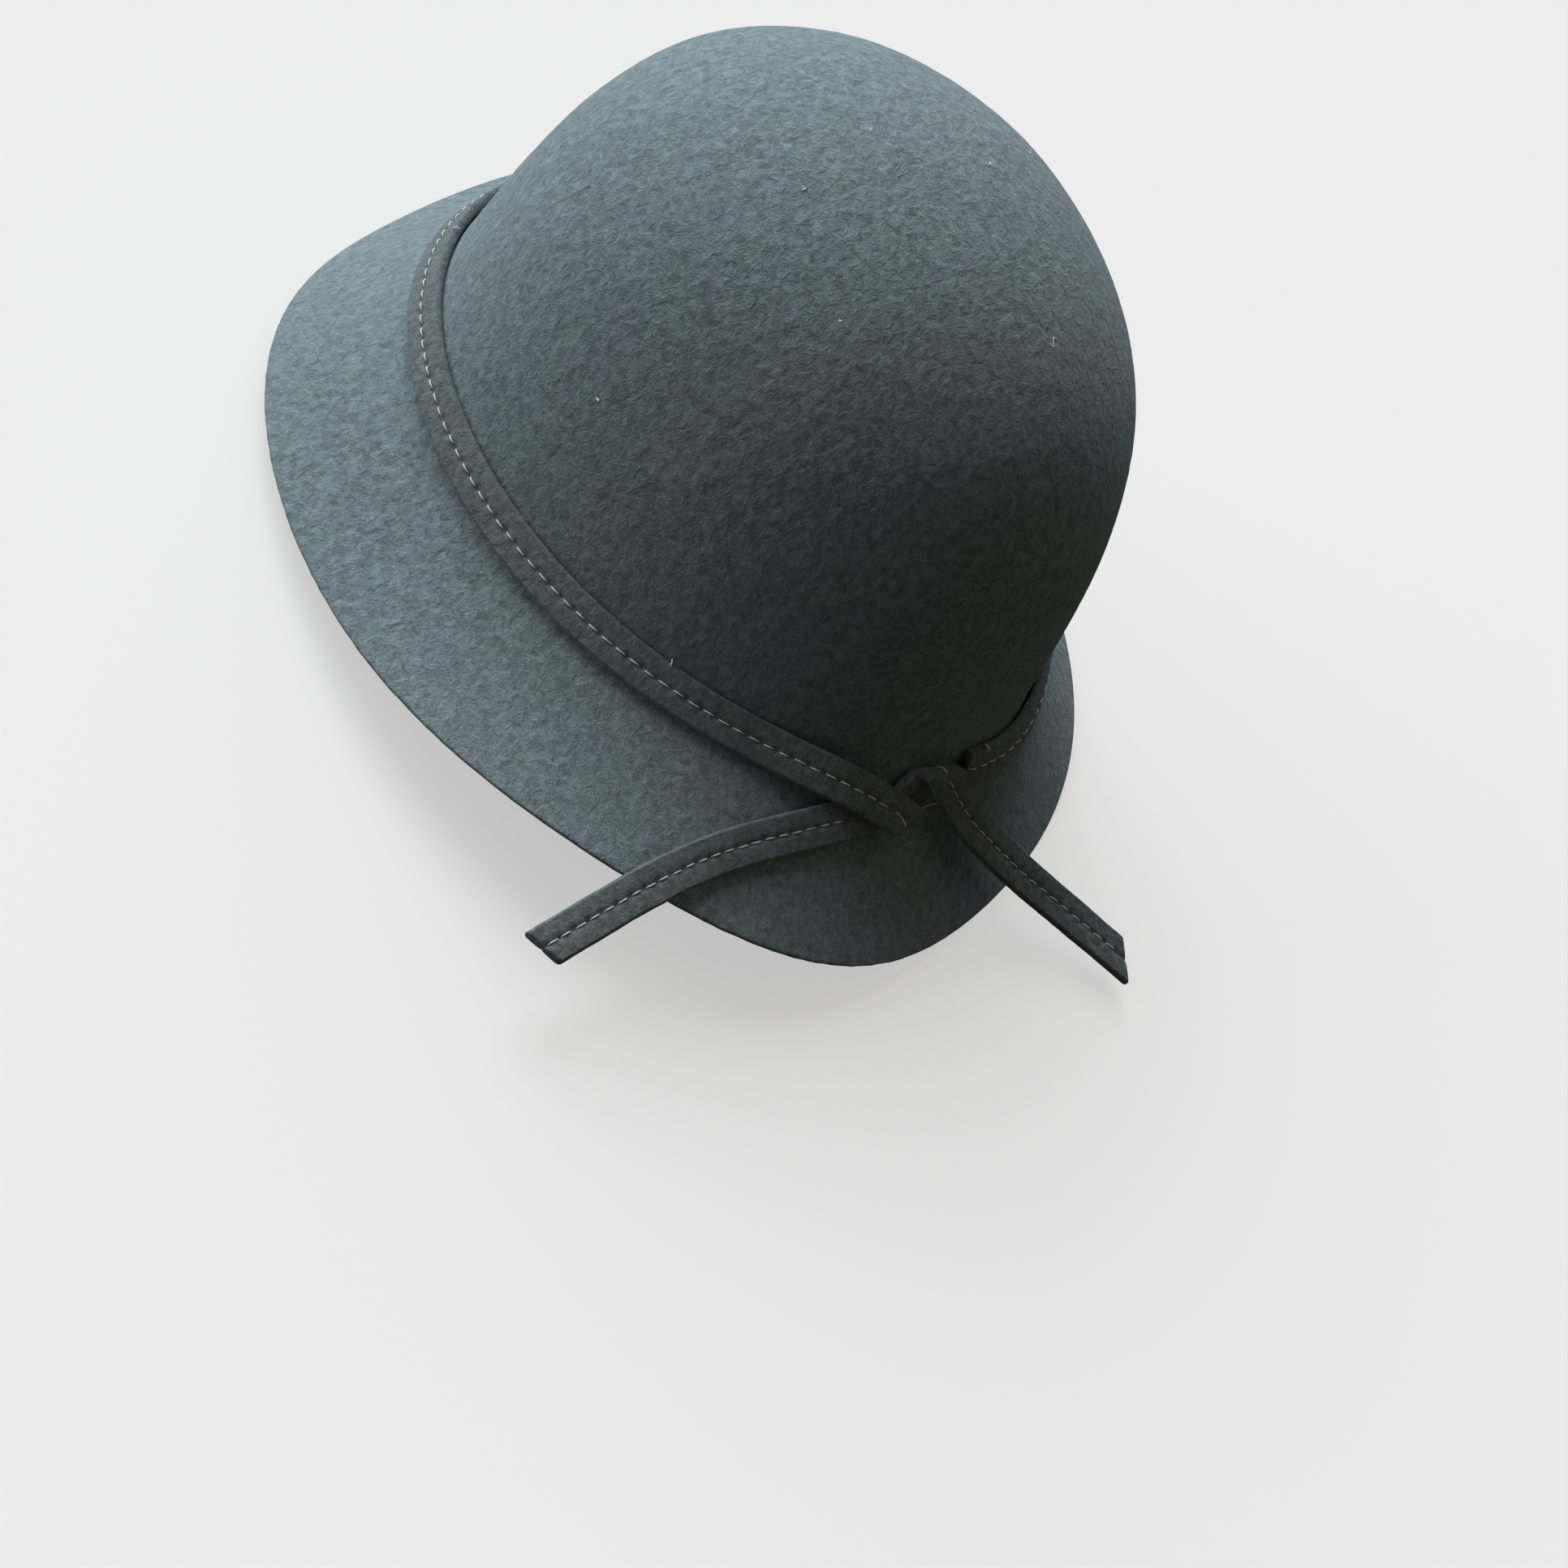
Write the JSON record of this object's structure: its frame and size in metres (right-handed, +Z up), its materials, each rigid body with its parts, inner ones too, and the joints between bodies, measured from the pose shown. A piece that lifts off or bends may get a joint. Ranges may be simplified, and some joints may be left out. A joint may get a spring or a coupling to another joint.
{
  "type": "cloche hat",
  "caption": "Felt hat with a rounded crown and a wavy turned-down brim, a stitched felt band that ends in a folded tie with loose tails, and a ribbon sweatband inside.",
  "frame": {"origin": "bottom centre of the hat's bounding box, tails included, in the plane that the brim's lowest arcs rest on", "axes": "+Z up through the crown, -Y towards the wearer's front, +X towards the wearer's left"},
  "size_m": [0.2892, 0.302, 0.1625],
  "materials": {
    "felt": "matt blocked wool felt, slate grey-green, short nap",
    "strip_felt": "matt felt strip, a shade darker than the hood",
    "thread": "light grey cotton sewing thread",
    "grosgrain": "black ribbed grosgrain ribbon",
    "tab_satin": "plain off-white satin tape, no lettering"
  },
  "bodies": {
    "hat": {"felt_body": "felt", "band_strip": "strip_felt", "band_thread": "thread", "tie_fold": "strip_felt", "tack_stitch_1": "thread", "tack_stitch_2": "thread", "tack_stitch_3": "thread", "tack_stitch_4": "thread", "knot_stitch": "thread", "sweatband": "grosgrain", "sweatband_thread": "thread", "sweatband_seam_stitch": "thread", "size_tab_thread": "thread"},
    "left_tail": {"tie_tail_left": "strip_felt", "tail_thread_left": "thread"},
    "right_tail": {"tie_tail_right": "strip_felt", "tail_thread_right": "thread"},
    "size_tab": {"size_tab": "tab_satin"}
  },
  "joints": [
    {"name": "left_tail_lift", "type": "hinge", "parent": "hat", "child": "left_tail", "pos_m": [0.04999, 0.07435, 0.03398], "axis": [-0.2189, -0.8312, 0.5111], "range_deg": [0, 80]},
    {"name": "right_tail_lift", "type": "hinge", "parent": "hat", "child": "right_tail", "pos_m": [0.00922, 0.0901, 0.03732], "axis": [0.8773, 0.1666, -0.4502], "range_deg": [-5, 80]},
    {"name": "size_tab_flip", "type": "hinge", "parent": "hat", "child": "size_tab", "pos_m": [-0.04645, 0.06137, 0.07057], "axis": [-0.8645, -0.4972, -0.074], "range_deg": [0, 100]}
  ]
}
